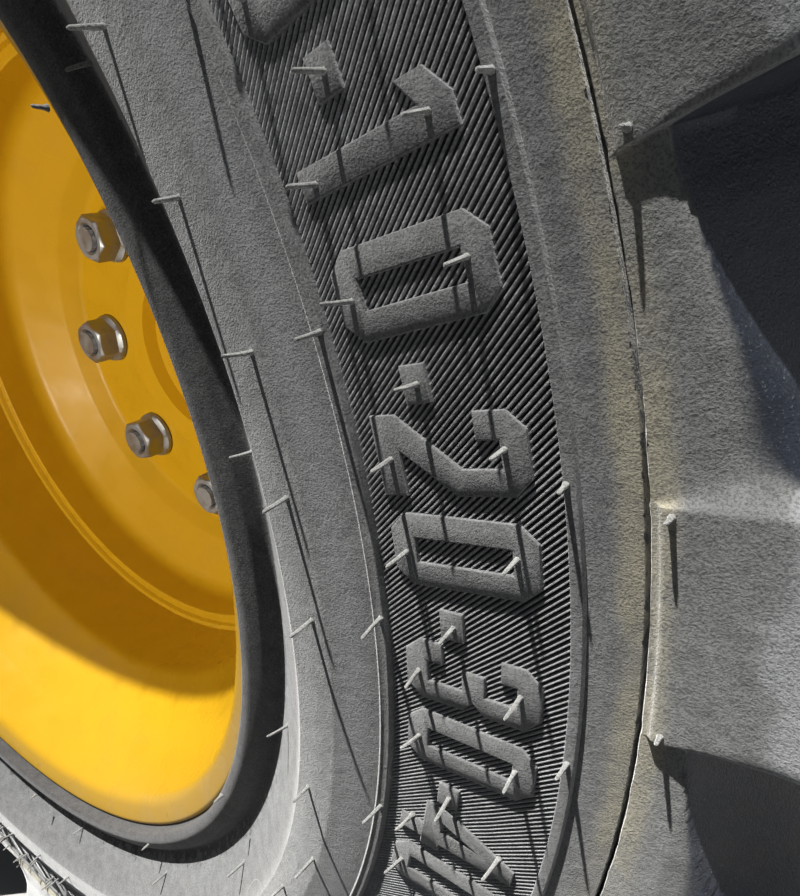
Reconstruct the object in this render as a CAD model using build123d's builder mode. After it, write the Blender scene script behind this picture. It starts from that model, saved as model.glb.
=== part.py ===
"""A skid steer loader wheel, tyre and rim, bolted to the axle end that carries it.

Millimetres. +Z is up, the axle lies along Y, and the wheel's outer face looks towards -Y.
The origin is the centre of the axle housing's mounting face, which looks towards +Y.
"""

import os
from math import atan2, cos, radians, sin, tan

from build123d import *

os.makedirs("parts", exist_ok=True)

# Wheel place
wheel_y = -205.0  # centre plane of the wheel
lug_phase = 7.0  # angle of the first outer lug above the +X side, degrees
nut_phase = 3.0  # angle of the first wheel nut above the +X side, degrees

# Tyre
tyre_radius = 461.0
tread_half_width = 169.5
crown_drop = 8.0  # how much lower the tread is at its shoulder
shoulder_chamfer = 7.5
lug_depth = 29.0
lugs_per_side = 21
lug_top_width = 50.0
lug_draft = 3.0
lug_straight = 56.0  # how far a lug runs in from the shoulder before it slants
lug_lean = 92.0  # how far its inner end lies round from its shoulder
lug_past_centre = 6.0
lug_overlap = 14.0  # how far the slanted part runs back into the straight one
lug_stand = 1.5  # how far a lug stands off the sidewall at its inner end
lug_flare = 61.0  # how far below the tread a lug's face starts to flare out
lug_root = 20.0  # how deep a lug is rooted under the floor of the tread
lug_sink = 9.0  # how deep its inner end is rooted in the sidewall
lug_margin = 10.0  # what a lug's blank has to spare all round
wall = 21.0  # casing thickness under the tread
floor_inset = 17.0  # from the start of the slant in to the edge of the floor
cavity_inset = 27.0  # and in to the edge of the cavity's crown
bead_height = 10.0  # from the groove out to where the cavity is at full width
sidewall_half_width = 149.8
band_half_width = 153.8  # inner edge of the ribbed band
guard_half_width = 160.0  # crest of the rim guard
groove_half_width = 138.5
bead_half_width = 146.0  # edge beside the rim's lip
cavity_half_width = 131.0
seat_gap = 0.3  # between tyre and rim

# Rings of the sidewall, as shares of the way from the rim's lip to the tread
groove_share = 0.062
guard_share = 0.213
band_share = 0.317
band_end_share = 0.519
lug_end_share = 0.598  # where the lugs begin
sidewall_edge_share = 0.642  # where the wall between two lugs turns down to the void
shoulder_share = 0.61  # where the cavity turns in to the tread

# Rim
seat_radius = 222.25
rim_half_width = 133.35  # between the flanges' inner faces
seat_length = 30.0
seat_taper = 15.0
flange_height = 12.7
flange_reach = 8.7  # how far the lip stands outside the flange's inner face
well_radius = 190.0
well_half_width = 66.0
rim_wall = 7.0

# Disc
disc_wall = 10.0
face_inset = 44.0  # from the wheel's centre plane in to the flat that the nuts clamp
disc_edge_offset = 14.0  # from the centre plane out to the disc's edge
disc_gap = 0.15  # between the disc's edge and the well
flat_radius = 130.0
step_radius = 141.0
step_depth = 12.0  # from the step down to the flat
bowl_depth = 32.0  # from the end of the disc's straight edge down to the flat
disc_bend = 6.0
centre_bore = 76.5

# Studs and nuts
stud_circle = 203.2
stud_count = 8
stud_radius = 7.9
stud_hole = 8.05
disc_hole = 9.2
stud_head_radius = 12.5
stud_head = 5.0
nut_flats = 27.0
nut_height = 20.0
nut_collar_radius = 19.0
nut_collar = 4.5
nut_bore = 8.0
stud_past_nut = 2.0
fastener_sides = 12  # flats that stand for the round of a small fastener

# Valve
valve_radius = 5.5
valve_length = 34.0
valve_cap_radius = 5.0
valve_cap_length = 12.0
valve_hole = 6.0

# Axle shaft
hub_flange_radius = 126.0
hub_flange = 18.0
pilot_radius = 76.0
pilot_height = 15.0
pilot_recess_radius = 52.0
pilot_recess = 8.0
seal_journal = 46.0
bearing_journal = 38.0
thread_radius = 35.0
spline_radius = 32.0
spline_root = 29.0
spline_teeth = 14
spline_length = 62.0
spline_width = 6.0

# Axle housing
housing_gap = 8.0  # running space between hub flange and housing
nose_radius = 72.0
tube_radius = 64.0
tube_bore = 50.0
nose_length = 34.0
mount_flange_radius = 122.0
mount_flange = 18.0
mount_circle = 200.0
mount_count = 8
mount_hole = 8.75
pilot_spigot_radius = 70.0
pilot_spigot = 6.0
rib_count = 4
rib_wall = 10.0
rib_length = 70.0
rib_height = 46.0

# Seal and inner bearing
seal_outer = 60.0
seal_width = 14.0
seal_clearance = 0.05
cup_outer = 60.0
cup_width = 24.0
cup_wall = 6.0
cone_wall = 6.5
cone_width = 27.0
roller_count = 16
roller_radius = 4.6
roller_sides = 8
lock_nut_radius = 48.0
lock_nut = 14.0
lock_washer_radius = 46.0
lock_washer = 2.5

# Places that follow from the sizes
face_y = wheel_y + face_inset  # outer face of the flat that the nuts clamp
disc_edge_y = wheel_y - disc_edge_offset
hub_y = face_y + disc_wall  # where the disc seats on the hub flange
housing_nose_y = hub_y + hub_flange + housing_gap
spigot_y = pilot_spigot
bearing_y = spigot_y - cup_width
lock_y = spigot_y + 3.0
spline_y = lock_y + lock_washer + lock_nut
lip_radius = seat_radius + flange_height
lip_half_width = rim_half_width + flange_reach
toe_half_width = rim_half_width - seat_length - 6.0
base_radius = tyre_radius - lug_depth


def seat_at(half_width):
    """Radius of the bead seat at a distance from the wheel's centre plane."""
    return seat_radius - (rim_half_width - half_width) * tan(radians(seat_taper))


def ring_at(share):
    """Radius of a sidewall ring, from its share of the way from the rim's lip to the tread."""
    return lip_radius + share * (tyre_radius - lip_radius)


def both_sides(half):
    """A profile that runs out on one side of the centre plane and back on the other."""
    near = [(r, wheel_y - h) for r, h in half]
    far = [(r, wheel_y + h) for r, h in reversed(half)]
    return near + far


slope_r = (seat_at(rim_half_width - seat_length) + well_radius) / 2
slope_h = (rim_half_width - seat_length + well_half_width) / 2
valve_lean = atan2(
    rim_half_width - seat_length - well_half_width,
    seat_at(rim_half_width - seat_length) - well_radius,
)
valve_plane = Plane(
    origin=(0.0, wheel_y - slope_h, slope_r + 0.3),
    x_dir=(1, 0, 0),
    z_dir=(0, -cos(valve_lean), -sin(valve_lean)),
)


def save(builder, name):
    builder.part.label = name
    export_step(builder.part, f"parts/{name}.step")


# One lug of the outer side, standing on top of the wheel
lug_end = ring_at(lug_end_share)
lug_foot = lug_end - lug_root
lug_rise = tyre_radius + lug_margin - lug_foot
lug_half = lug_top_width / 2 + lug_rise * tan(radians(lug_draft))
past_tread = tread_half_width + lug_margin
slant_start = tread_half_width - lug_straight
shoulder_radius = tyre_radius - crown_drop - shoulder_chamfer
slant_shift = lug_lean * lug_overlap / (slant_start + lug_past_centre)
# columns: distance round the tyre, distance from the centre plane
lug_plans = (
    (
        (-lug_half, past_tread),
        (lug_half, past_tread),
        (lug_half, slant_start),
        (-lug_half, slant_start),
    ),
    (
        (-lug_half - slant_shift, slant_start + lug_overlap),
        (lug_half - slant_shift, slant_start + lug_overlap),
        (lug_half + lug_lean, -lug_past_centre),
        (lug_lean - lug_half, -lug_past_centre),
    ),
)
with BuildPart() as lug:
    for plan in lug_plans:
        with BuildSketch(Plane.XY.offset(lug_foot)):
            with BuildLine():
                Polyline(*[(s, wheel_y - h) for s, h in plan], close=True)
            make_face()
        extrude(amount=lug_rise, taper=lug_draft)
    with BuildSketch(Plane.YZ):
        # columns: radius, distance from the centre plane
        with BuildLine():
            Polyline(
                *[
                    (wheel_y - h, r)
                    for r, h in (
                        (tyre_radius + lug_margin, -past_tread),
                        (tyre_radius + lug_margin, slant_start),
                        (tyre_radius, slant_start),
                        (tyre_radius - crown_drop, tread_half_width - shoulder_chamfer),
                        (shoulder_radius, tread_half_width),
                        (tyre_radius - lug_flare, sidewall_half_width + lug_stand),
                        (lug_end, sidewall_half_width + lug_stand),
                        (lug_end, sidewall_half_width - lug_sink),
                        (base_radius - lug_root, slant_start - floor_inset),
                        (base_radius - lug_root, -past_tread),
                    )
                ],
                close=True,
            )
        make_face()
    extrude(amount=tyre_radius / 2, both=True, mode=Mode.INTERSECT)
    with BuildSketch(Plane.XZ.offset(-wheel_y - past_tread)):
        Circle(tyre_radius)
    extrude(amount=past_tread * 2, mode=Mode.INTERSECT)

# Tyre: casing with its beads, then the lugs
pitch = 360.0 / lugs_per_side
outer_half = [
    (base_radius, slant_start - floor_inset),
    (ring_at(sidewall_edge_share), sidewall_half_width),
    (ring_at(band_end_share), sidewall_half_width),
    (ring_at(band_share), band_half_width),
    (ring_at(guard_share), guard_half_width),
    (ring_at(groove_share), groove_half_width),
    (lip_radius + seat_gap, bead_half_width),
    (lip_radius + seat_gap, rim_half_width - seat_gap),
    (seat_radius + seat_gap, rim_half_width - seat_gap),
    (seat_at(toe_half_width) + seat_gap, toe_half_width),
]
inner_half = [
    (ring_at(groove_share) + bead_height, cavity_half_width),
    (ring_at(shoulder_share), cavity_half_width),
    (base_radius - wall, slant_start - cavity_inset),
]
with BuildPart() as tyre:
    with BuildSketch(Plane.XY):
        with BuildLine():
            Polyline(*both_sides(outer_half + inner_half), close=True)
        make_face()
    revolve(axis=Axis.Y)
    far_lug = mirror(lug.part, about=Plane.XZ.offset(-wheel_y), mode=Mode.PRIVATE)
    first = 90.0 - lug_phase
    lugs = []
    for k in range(lugs_per_side):
        lugs.append(lug.part.rotate(Axis.Y, first - pitch * k))
        lugs.append(far_lug.rotate(Axis.Y, first - pitch * (k + 0.5)))
    add(lugs)
save(tyre, "tyre")

# Rim: drop centre barrel with a rolled flange on each side
rim_half = [
    (lip_radius, lip_half_width),
    (lip_radius, rim_half_width + 4.0),
    (lip_radius - 5.0, rim_half_width),
    (seat_radius, rim_half_width),
    (seat_at(rim_half_width - seat_length), rim_half_width - seat_length),
    (well_radius, well_half_width),
]
with BuildPart() as rim:
    with BuildSketch(Plane.XY):
        with BuildLine() as rim_line:
            Polyline(*both_sides(rim_half))
            offset(amount=rim_wall, kind=Kind.INTERSECTION, side=Side.LEFT)
        make_face()
    revolve(axis=Axis.Y)
    with BuildSketch(valve_plane):
        Circle(valve_hole)
    extrude(amount=rim_wall * 3, both=True, mode=Mode.SUBTRACT)
save(rim, "rim")

# Disc: a dished pressing welded into the well, with a flat for the hub
disc_edge = well_radius - rim_wall - disc_gap - disc_wall
with BuildPart() as disc:
    with BuildSketch(Plane.XY):
        # columns: radius, place along the axle, of the face that looks outwards
        with BuildLine():
            Polyline(
                (disc_edge, disc_edge_y),
                (disc_edge, face_y - bowl_depth - disc_bend),
                (disc_edge - disc_bend, face_y - bowl_depth),
                (step_radius, face_y - step_depth),
                (flat_radius, face_y),
                (centre_bore, face_y),
            )
            offset(amount=disc_wall, kind=Kind.INTERSECTION, side=Side.RIGHT)
        make_face()
    revolve(axis=Axis.Y)
    with BuildSketch(Plane.XZ.offset(-face_y)):
        with PolarLocations(stud_circle / 2, stud_count, start_angle=nut_phase):
            Circle(disc_hole)
    extrude(amount=disc_wall * 2, both=True, mode=Mode.SUBTRACT)
save(disc, "disc")

# Wheel studs and nuts
for k in range(stud_count):
    spot = PolarLocations(stud_circle / 2, 1, start_angle=nut_phase + 360.0 / stud_count * k)
    with BuildPart() as stud:
        with BuildSketch(Plane.XZ.offset(-hub_y - hub_flange)):
            with spot:
                RegularPolygon(stud_radius, fastener_sides)
        extrude(amount=hub_flange + disc_wall + nut_height + stud_past_nut)
        with BuildSketch(Plane.XZ.offset(-hub_y - hub_flange)):
            with spot:
                RegularPolygon(stud_head_radius, fastener_sides)
        extrude(amount=-stud_head)
    save(stud, f"stud_{k + 1}")
    with BuildPart() as nut:
        with BuildSketch(Plane.XZ.offset(-face_y)):
            with spot:
                RegularPolygon(nut_collar_radius, fastener_sides * 2)
        extrude(amount=nut_collar)
        with BuildSketch(Plane.XZ.offset(-face_y)):
            with spot:
                RegularPolygon(nut_flats / 2, 6, major_radius=False)
        extrude(amount=nut_height)
        with BuildSketch(Plane.XZ.offset(-face_y)):
            with spot:
                RegularPolygon(nut_bore, fastener_sides)
        extrude(amount=nut_height, mode=Mode.SUBTRACT)
    save(nut, f"nut_{k + 1}")

# Valve: stem through the rim's slope, seated from inside the tyre, and its cap
with BuildPart() as valve_stem:
    with BuildSketch(valve_plane):
        Circle(valve_radius)
    extrude(amount=valve_length)
    with BuildSketch(valve_plane):
        Circle(valve_radius + 4.0)
    extrude(amount=-4.0)
save(valve_stem, "valve_stem")
with BuildPart() as valve_cap:
    with BuildSketch(valve_plane.offset(valve_length)):
        Circle(valve_cap_radius)
    extrude(amount=valve_cap_length)
save(valve_cap, "valve_cap")

# Axle shaft: hub flange and pilot, journals, thread and splined end
with BuildPart() as axle_shaft:
    with BuildSketch(Plane.XY):
        # columns: radius, place along the axle
        with BuildLine():
            Polyline(
                (0.0, hub_y - pilot_height + pilot_recess),
                (pilot_recess_radius, hub_y - pilot_height + pilot_recess),
                (pilot_recess_radius + 4.0, hub_y - pilot_height),
                (pilot_radius - 2.0, hub_y - pilot_height),
                (pilot_radius, hub_y - pilot_height + 4.0),
                (pilot_radius, hub_y),
                (hub_flange_radius, hub_y),
                (hub_flange_radius, hub_y + hub_flange),
                (seal_journal + 14.0, hub_y + hub_flange),
                (seal_journal, housing_nose_y),
                (seal_journal, housing_nose_y + seal_width + 6.0),
                (bearing_journal, housing_nose_y + seal_width + 12.0),
                (bearing_journal, lock_y),
                (thread_radius, lock_y),
                (thread_radius, spline_y),
                (spline_radius, spline_y + 2.0),
                (spline_radius, spline_y + spline_length - 3.0),
                (spline_radius - 3.0, spline_y + spline_length),
                (0.0, spline_y + spline_length),
                close=True,
            )
        make_face()
    revolve(axis=Axis.Y)
    with BuildSketch(Plane.XZ.offset(-hub_y)):
        with PolarLocations(stud_circle / 2, stud_count, start_angle=nut_phase):
            Circle(stud_hole)
    extrude(amount=-hub_flange, mode=Mode.SUBTRACT)
    with BuildSketch(Plane.XZ.offset(-spline_y - 6.0)):
        with PolarLocations(spline_root + 5.0, spline_teeth):
            Rectangle(10.0, spline_width)
    extrude(amount=-spline_length, mode=Mode.SUBTRACT)
save(axle_shaft, "axle_shaft")

# Axle housing: tube with a seal nose, ribs and the mounting flange
with BuildPart() as axle_housing:
    with BuildSketch(Plane.XY):
        # columns: radius, place along the axle
        with BuildLine():
            Polyline(
                (seal_outer, housing_nose_y),
                (nose_radius, housing_nose_y),
                (nose_radius, housing_nose_y + nose_length),
                (tube_radius, housing_nose_y + nose_length + 8.0),
                (tube_radius, -mount_flange),
                (mount_flange_radius, -mount_flange),
                (mount_flange_radius, 0.0),
                (pilot_spigot_radius, 0.0),
                (pilot_spigot_radius, spigot_y),
                (cup_outer, spigot_y),
                (cup_outer, bearing_y),
                (tube_bore, bearing_y),
                (tube_bore, housing_nose_y + seal_width),
                (seal_outer, housing_nose_y + seal_width),
                close=True,
            )
        make_face()
    revolve(axis=Axis.Y)
    with BuildSketch(Plane.XY):
        with BuildLine():
            Polyline(
                (tube_radius - 4.0, -mount_flange),
                (tube_radius + rib_height, -mount_flange),
                (tube_radius - 4.0, -mount_flange - rib_length),
                close=True,
            )
        make_face()
    rib = extrude(amount=rib_wall / 2, both=True, mode=Mode.PRIVATE)
    add([rib.rotate(Axis.Y, 45.0 + 360.0 / rib_count * k) for k in range(rib_count)])
    with BuildSketch(Plane.XZ):
        with PolarLocations(mount_circle / 2, mount_count, start_angle=180.0 / mount_count):
            Circle(mount_hole)
    extrude(amount=mount_flange, mode=Mode.SUBTRACT)
save(axle_housing, "axle_housing")

# Oil seal in the nose, running on the shaft's journal
with BuildPart() as oil_seal:
    with BuildSketch(Plane.XY):
        with Locations(((seal_outer + seal_journal + seal_clearance) / 2, housing_nose_y + seal_width / 2)):
            Rectangle(seal_outer - seal_journal - seal_clearance, seal_width)
    revolve(axis=Axis.Y)
save(oil_seal, "oil_seal")

# Inner bearing: cup in the housing, cone with its rollers on the shaft
with BuildPart() as bearing_cup:
    with BuildSketch(Plane.XY):
        with Locations((cup_outer - cup_wall / 2, bearing_y + cup_width / 2)):
            Rectangle(cup_wall, cup_width)
    revolve(axis=Axis.Y)
save(bearing_cup, "bearing_cup")
cone_inner = bearing_journal + 0.05
roller_circle = cone_inner + cone_wall + roller_radius - 0.2
with BuildPart() as bearing_cone:
    with BuildSketch(Plane.XY):
        with Locations((cone_inner + cone_wall / 2, lock_y - cone_width / 2)):
            Rectangle(cone_wall, cone_width)
    revolve(axis=Axis.Y)
    with BuildSketch(Plane.XZ.offset(-lock_y + 3.0)):
        with PolarLocations(roller_circle, roller_count):
            RegularPolygon(roller_radius, roller_sides)
    extrude(amount=cone_width - 6.0)
save(bearing_cone, "bearing_cone")

# Lock washer and slotted lock nut on the shaft's thread
with BuildPart() as lock_washer_part:
    with BuildSketch(Plane.XZ.offset(-lock_y)):
        Circle(lock_washer_radius)
        Circle(thread_radius + 0.05, mode=Mode.SUBTRACT)
    extrude(amount=-lock_washer)
save(lock_washer_part, "lock_washer")
with BuildPart() as lock_nut_part:
    with BuildSketch(Plane.XZ.offset(-lock_y - lock_washer)):
        Circle(lock_nut_radius)
        Circle(thread_radius + 0.05, mode=Mode.SUBTRACT)
        with PolarLocations(lock_nut_radius, 4):
            Rectangle(8.0, 9.0, mode=Mode.SUBTRACT)
    extrude(amount=-lock_nut)
save(lock_nut_part, "lock_nut")
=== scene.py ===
"""Looks for a skid steer loader wheel on the axle end that carries it.

Metres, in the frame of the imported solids: +Z up, the axle along Y, the wheel's outer face towards -Y.
Outlines are written in millimetres, as distance from the axle and distance outwards from the wheel's
centre plane.
"""

from math import atan2, ceil, cos, degrees, exp, pi, radians, sin, tan

import bpy
from mathutils import Matrix, Vector, noise


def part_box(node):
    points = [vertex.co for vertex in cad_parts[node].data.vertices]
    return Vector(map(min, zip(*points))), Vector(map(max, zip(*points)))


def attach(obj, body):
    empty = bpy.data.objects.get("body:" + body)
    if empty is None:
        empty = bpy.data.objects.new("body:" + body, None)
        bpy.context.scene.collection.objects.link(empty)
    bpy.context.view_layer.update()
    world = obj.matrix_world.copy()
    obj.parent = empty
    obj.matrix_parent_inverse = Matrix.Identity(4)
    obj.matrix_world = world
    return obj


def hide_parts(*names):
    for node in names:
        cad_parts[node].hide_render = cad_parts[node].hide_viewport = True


bl_info = {
    "name": "Loader wheel finish",
    "version": (1, 0, 0),
    "blender": (4, 5, 0),
    "location": "3D View > Sidebar > Wheel",
    "description": "Fine shapes, finishes and stage for a loader wheel on its axle end",
    "category": "Object",
}

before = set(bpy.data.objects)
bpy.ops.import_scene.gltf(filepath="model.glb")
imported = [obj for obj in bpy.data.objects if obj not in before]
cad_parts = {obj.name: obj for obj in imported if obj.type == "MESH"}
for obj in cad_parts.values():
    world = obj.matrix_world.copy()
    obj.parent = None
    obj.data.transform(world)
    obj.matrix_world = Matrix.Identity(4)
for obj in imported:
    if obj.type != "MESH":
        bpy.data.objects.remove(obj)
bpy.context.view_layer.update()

MM = 0.001
tyre_low, tyre_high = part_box("tyre")
WHEEL_Y = (tyre_low.y + tyre_high.y) / 2
TREAD_R = tyre_high.z / MM
AXLE = Vector((0.0, 1.0, 0.0))

# Rings of the sidewall, from the rim's lip outwards
LIP_R = 235.25
BAND_IN_R, BAND_OUT_R = 307.0, 352.0
BAND_IN_H, BAND_OUT_H = 154.0, 149.8
CRACK_R, CRACK_END_R = 367.1, 367.9  # mould seam between sidewall and tread
PARTING_H = 149.8
LUG_FACE_H = 151.3
CROWN_FROM = 0.449  # radius in metres from which the lugs' tops are worn dark
FACES = (1, -1)  # outer and inner side of the wheel


def place(radius, angle, reach):
    """A point in metres from its radius, its angle above +X in degrees and its reach outwards."""
    turn = radians(angle)
    return Vector((radius * cos(turn) * MM, WHEEL_Y - reach * MM, radius * sin(turn) * MM))


def band_height(radius):
    """Reach of the ribbed band's floor at a radius."""
    share = (radius - BAND_IN_R) / (BAND_OUT_R - BAND_IN_R)
    return BAND_IN_H + (BAND_OUT_H - BAND_IN_H) * share


def clear_selection():
    bpy.ops.object.select_all(action="DESELECT")


def pick(*objects):
    clear_selection()
    for obj in objects:
        obj.select_set(True)
    bpy.context.view_layer.objects.active = objects[0]


def closed_up(obj, smooth=40.0):
    """Merges doubles, turns the faces outwards and smooths what bends less than an angle."""
    pick(obj)
    bpy.ops.object.mode_set(mode="EDIT")
    bpy.ops.mesh.select_all(action="SELECT")
    bpy.ops.mesh.remove_doubles(threshold=0.000002)
    bpy.ops.mesh.normals_make_consistent(inside=False)
    bpy.ops.object.mode_set(mode="OBJECT")
    bpy.ops.object.shade_smooth_by_angle(angle=radians(smooth))
    return obj


def settle(obj):
    """Puts the object's place into its mesh."""
    pick(obj)
    bpy.ops.object.transform_apply(location=True, rotation=True, scale=True)


def joined(name, objects):
    pick(*objects)
    bpy.ops.object.join()
    objects[0].name = name
    return objects[0]


def copied(obj, matrix):
    """A copy with its own mesh, moved by a matrix."""
    twin = obj.copy()
    twin.data = obj.data.copy()
    twin.data.transform(matrix)
    bpy.context.collection.objects.link(twin)
    return twin


def turned(degrees_up):
    """The matrix that turns a piece about the axle towards higher angles."""
    return Matrix.Rotation(-radians(degrees_up), 4, AXLE)


def finished(obj, body, slot, material, *replaced):
    """Gives a piece its material and body, and hides the solids that it replaces; the slot is not used."""
    obj.data.materials.clear()
    obj.data.materials.append(material)
    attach(obj, body)
    if replaced:
        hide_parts(*replaced)


def paint_node(name, material):
    """Gives a solid of the frame that stays visible its material."""
    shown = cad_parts[name]
    shown.data.materials.clear()
    shown.data.materials.append(material)


def added(name, data):
    """A new object in the scene."""
    obj = bpy.data.objects.new(name, data)
    bpy.context.collection.objects.link(obj)
    return obj


def mesh_from(name, points, faces):
    """One joined mesh of many small like shapes."""
    mesh = bpy.data.meshes.new(name)
    mesh.from_pydata(points, [], faces)
    return added(name, mesh)


def grid(name, rows):
    """A sheet through rows of points."""
    clear_selection()
    bpy.ops.mesh.primitive_grid_add(x_subdivisions=len(rows[0]) - 1, y_subdivisions=len(rows) - 1)
    obj = bpy.context.object
    obj.name = name
    for vertex, point in zip(obj.data.vertices, [point for row in rows for point in row]):
        vertex.co = point
    return obj


def rounded(corners, step=22.0):
    """An outline with its corners rounded. Each corner is (radius, reach) or (radius, reach, bend)."""
    outline = []
    count = len(corners)
    for k, corner in enumerate(corners):
        here = Vector(corner[:2])
        bend = corner[2] if len(corner) > 2 else 0.0
        before = (Vector(corners[k - 1][:2]) - here).normalized()
        after = (Vector(corners[(k + 1) % count][:2]) - here).normalized()
        angle = before.angle(after)
        turn = pi - angle
        if bend <= 0.0 or turn < radians(2):
            outline.append(here)
            continue
        reach = bend / tan(angle / 2)
        start, end = here + before * reach, here + after * reach
        centre = here + (before + after).normalized() * (bend / sin(angle / 2))
        parts = max(2, ceil(degrees(turn) / step))
        first = start - centre
        sign = 1.0 if first.cross(end - centre) > 0 else -1.0
        for n in range(parts + 1):
            outline.append(centre + Matrix.Rotation(sign * turn * n / parts, 2) @ first)
    return outline


def spun(name, corners, steps, step=22.0):
    """A closed outline turned about the axle."""
    outline = [Vector((r * MM, WHEEL_Y - h * MM, 0.0)) for r, h in rounded(corners, step)]
    clear_selection()
    bpy.ops.mesh.primitive_plane_add(size=0.001, location=outline[0])
    obj = bpy.context.object
    obj.name = name
    bpy.ops.object.mode_set(mode="EDIT")
    bpy.ops.mesh.merge(type="CENTER")
    for here, there in zip(outline, outline[1:] + outline[:1]):
        bpy.ops.mesh.extrude_region_move(TRANSFORM_OT_translate={"value": there - here})
    bpy.ops.mesh.select_all(action="SELECT")
    bpy.ops.mesh.remove_doubles(threshold=0.000002)
    bpy.ops.mesh.spin(steps=steps, angle=2 * pi, center=(0, WHEEL_Y, 0), axis=AXLE)
    bpy.ops.object.mode_set(mode="OBJECT")
    settle(obj)
    return closed_up(obj)


class Finish:
    """Builds the nodes of one material. Distances in metres on Object coordinates."""

    def __init__(self, name, color, roughness, metallic=0.0, coat=0.0, specular=0.5):
        self.material = bpy.data.materials.new(name)
        self.material.use_nodes = True
        tree = self.material.node_tree
        self.nodes, self.links = tree.nodes, tree.links
        self.surface = self.nodes["Principled BSDF"]
        self.set("Base Color", color)
        self.set("Roughness", roughness)
        self.set("Metallic", metallic)
        self.set("Coat Weight", coat)
        self.set("Coat Roughness", 0.05)
        self.set("Specular IOR Level", specular)
        self.place = self.nodes.new("ShaderNodeTexCoord").outputs["Object"]

    def put(self, value, socket):
        if isinstance(value, bpy.types.NodeSocket):
            self.links.new(value, socket)
        elif socket.type == "RGBA":
            socket.default_value = (*value[:3], 1.0)
        else:
            socket.default_value = value

    def set(self, name, value):
        self.put(value, self.surface.inputs[name])

    def math(self, what, *values):
        node = self.nodes.new("ShaderNodeMath")
        node.operation = what
        for value, socket in zip(values, node.inputs):
            self.put(value, socket)
        return node.outputs[0]

    def times(self, *shares):
        """The product of two or more shares."""
        total = shares[0]
        for share in shares[1:]:
            total = self.math("MULTIPLY", total, share)
        return total

    def apart(self, one, other):
        """How far two values are apart."""
        return self.math("ABSOLUTE", self.math("SUBTRACT", one, other))

    def stray(self, size, detail, rough, amount, middle=0.5):
        """A soft random shift either way."""
        return self.times(self.math("SUBTRACT", self.noise(size, detail, rough), middle), amount)

    def noise(self, size, detail=3.0, rough=0.55):
        node = self.nodes.new("ShaderNodeTexNoise")
        self.put(self.place, node.inputs["Vector"])
        node.inputs["Scale"].default_value = 1.0 / size
        node.inputs["Detail"].default_value = detail
        node.inputs["Roughness"].default_value = rough
        return node.outputs[0]

    def cells(self, size):
        node = self.nodes.new("ShaderNodeTexVoronoi")
        self.put(self.place, node.inputs["Vector"])
        node.inputs["Scale"].default_value = 1.0 / size
        return node.outputs["Distance"]

    def span(self, value, low, high, to_low=0.0, to_high=1.0):
        """Goes softly from one value to another while the input goes from low to high."""
        node = self.nodes.new("ShaderNodeMapRange")
        node.interpolation_type = "SMOOTHSTEP"
        for item, socket in zip((value, low, high, to_low, to_high), node.inputs):
            self.put(item, socket)
        return node.outputs[0]

    def mix(self, share, low, high, how="MIX"):
        node = self.nodes.new("ShaderNodeMix")
        node.data_type = "RGBA"
        node.blend_type = how
        self.put(share, node.inputs["Factor"])
        self.put(low, node.inputs[6])
        self.put(high, node.inputs[7])
        return node.outputs[2]

    def bump(self, height, depth, base=None):
        node = self.nodes.new("ShaderNodeBump")
        node.inputs["Distance"].default_value = depth
        self.put(height, node.inputs["Height"])
        if base is not None:
            self.put(base, node.inputs["Normal"])
        return node.outputs[0]

    def scratches(self, size, width):
        """A mask of thin wandering lines that come and go."""
        line = self.apart(self.noise(size, 2.0, 0.45), 0.5)
        present = self.span(self.noise(size * 0.8, 1.0), 0.56, 0.62)
        return self.times(self.span(line, 0.0, width, 1.0, 0.0), present)

    def polar(self):
        """Radius, reach from the centre plane and place along the axle of the shaded point, in metres."""
        split = self.nodes.new("ShaderNodeSeparateXYZ")
        self.put(self.place, split.inputs[0])
        x, y, z = split.outputs
        radius = self.math("SQRT", self.math("ADD", self.times(x, x), self.times(z, z)))
        return radius, self.apart(y, WHEEL_Y), y


# How much of the dust's gleam under low light a piece of rubber has, and its plain shine
GLEAM, GLOSS = 0.8, 0.06
# Near-black of the mould seam, which also serves as painted shade down between the ribs, then the colour of
# dust
SEAM_BLACK_AND_SHADE, DUST = (0.012, 0.012, 0.013), (0.42, 0.414, 0.39)


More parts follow.
